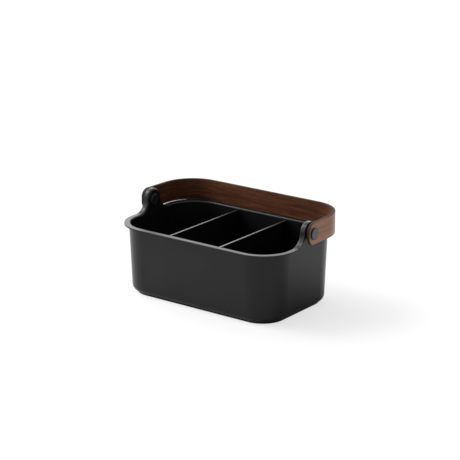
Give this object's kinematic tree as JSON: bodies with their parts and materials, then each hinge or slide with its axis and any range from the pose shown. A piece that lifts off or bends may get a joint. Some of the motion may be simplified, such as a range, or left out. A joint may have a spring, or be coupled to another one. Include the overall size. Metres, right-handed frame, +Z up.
{
  "type": "tool storage caddy",
  "caption": "Moulded rectangular tub with a flared lip that rises over its end ears, drop-in dividers, and a bentwood carrying handle that swings on capped pivots.",
  "frame": {"origin": "on the ground, under the middle of the overall box", "axes": "+X along the tub to its right end, +Y to the back, where the folded handle lies, +Z up"},
  "size_m": [0.302, 0.183, 0.1359],
  "materials": {
    "moulded_black": "fine satin texture",
    "handle_core": "dark stained ply edge, oiled",
    "walnut_face": "walnut veneer, satin lacquer",
    "bush": "plain",
    "black_metal": "black satin coating"
  },
  "bodies": {
    "tub": {"tub": "moulded_black", "pivot_barrel_left": "black_metal", "pivot_barrel_right": "black_metal", "pivot_screw_left": "black_metal", "pivot_screw_right": "black_metal"},
    "handle": {"handle_core": "handle_core", "handle_outer_veneer": "walnut_face", "handle_inner_veneer": "walnut_face", "handle_bush_left": "bush", "handle_bush_right": "bush"},
    "divider_left": {"divider_left": "moulded_black"},
    "divider_right": {"divider_right": "moulded_black"}
  },
  "joints": [
    {"name": "handle_swing", "type": "hinge", "parent": "tub", "child": "handle", "pos_m": [0, 0, 0.1194], "axis": [1, 0, 0], "range_deg": [0, 180]},
    {"name": "divider_left_lift", "type": "slide", "parent": "tub", "child": "divider_left", "axis": [0, 0, 1], "range_m": [0, 0.1]},
    {"name": "divider_right_lift", "type": "slide", "parent": "tub", "child": "divider_right", "axis": [0, 0, 1], "range_m": [0, 0.1]}
  ]
}
